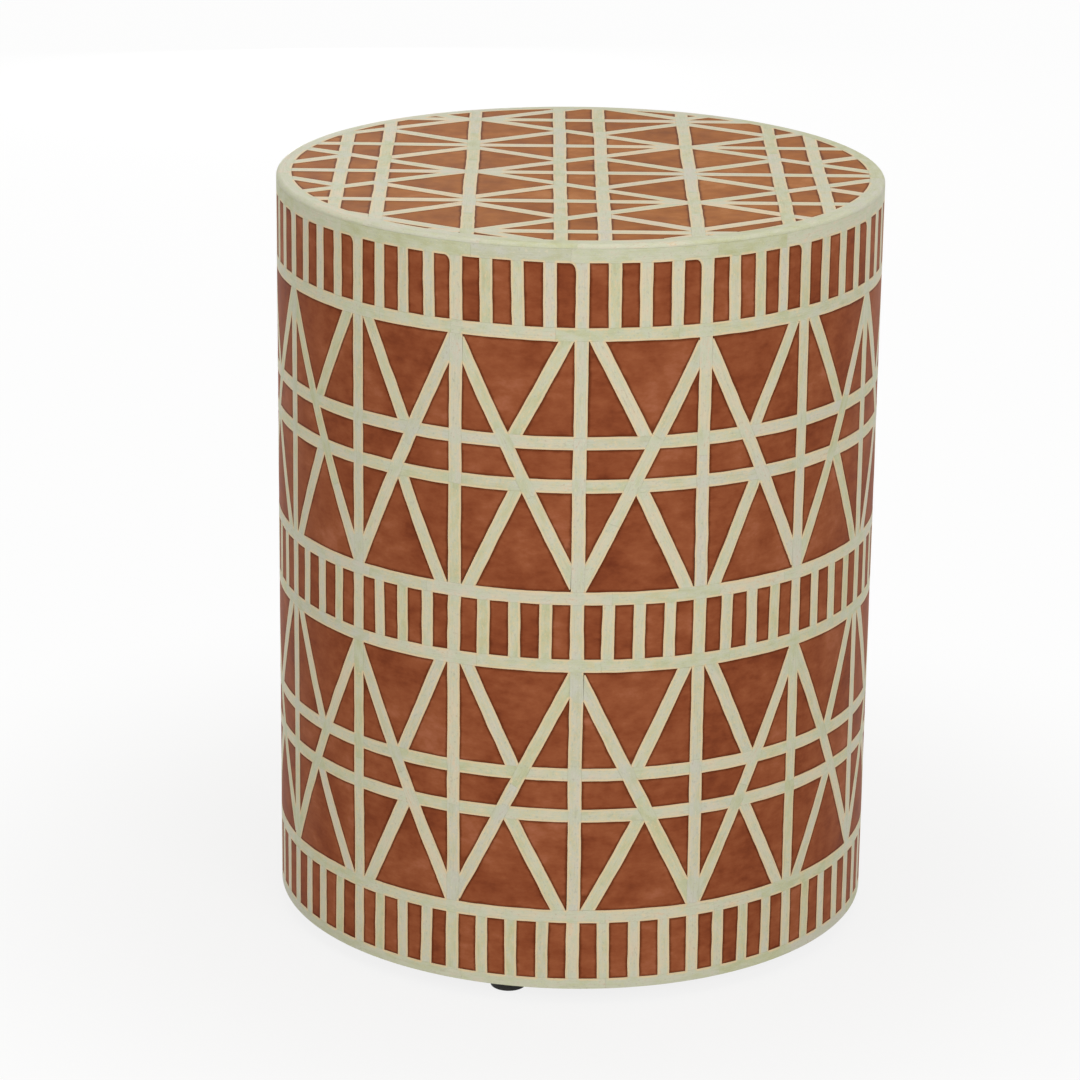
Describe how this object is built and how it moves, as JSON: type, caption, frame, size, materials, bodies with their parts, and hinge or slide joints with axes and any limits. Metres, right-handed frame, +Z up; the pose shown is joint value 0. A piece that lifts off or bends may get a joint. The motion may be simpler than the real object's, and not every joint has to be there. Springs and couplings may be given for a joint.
{
  "type": "moroccan kursi stool",
  "caption": "Round drum stool with a flat top, its top and wall inlaid with bone strips in coloured resin over a hollow plywood drum, on low rubber feet.",
  "frame": {"origin": "middle of the footprint, on the floor under the feet", "axes": "+Z up along the drum's axis, -Y to the front, through the middle upright of the picture, +X to the right seen from the front"},
  "size_m": [0.358, 0.358, 0.454],
  "materials": {
    "bone": "polished bone, satin",
    "resin": "cast resin, mottled terracotta, satin gloss",
    "board": "fibreboard, sealed",
    "plywood": "bending plywood, raw",
    "pine": "planed softwood, raw",
    "rubber": "matt black rubber",
    "steel": "zinc-plated screw"
  },
  "bodies": {
    "root": {"top_inlay": "bone", "upper_tick_band": "bone", "upper_lattice": "bone", "middle_tick_band": "bone", "lower_lattice": "bone", "lower_tick_band": "bone", "resin_top": "resin", "resin_wall": "resin", "top_board": "board", "base_board": "board", "wall_panel_1": "plywood", "wall_panel_2": "plywood", "former_ring_1": "plywood", "former_ring_2": "plywood", "batten_1": "pine", "foot_1": "rubber", "batten_2": "pine", "batten_3": "pine", "foot_3": "rubber", "batten_4": "pine", "batten_5": "pine", "foot_5": "rubber", "batten_6": "pine", "batten_7": "pine", "foot_7": "rubber", "batten_8": "pine", "top_screw_1": "steel", "foot_screw_1": "steel", "top_screw_2": "steel", "base_screw_2": "steel", "top_screw_3": "steel", "foot_screw_3": "steel", "top_screw_4": "steel", "base_screw_4": "steel", "top_screw_5": "steel", "foot_screw_5": "steel", "top_screw_6": "steel", "base_screw_6": "steel", "top_screw_7": "steel", "foot_screw_7": "steel", "top_screw_8": "steel", "base_screw_8": "steel"}
  },
  "joints": []
}
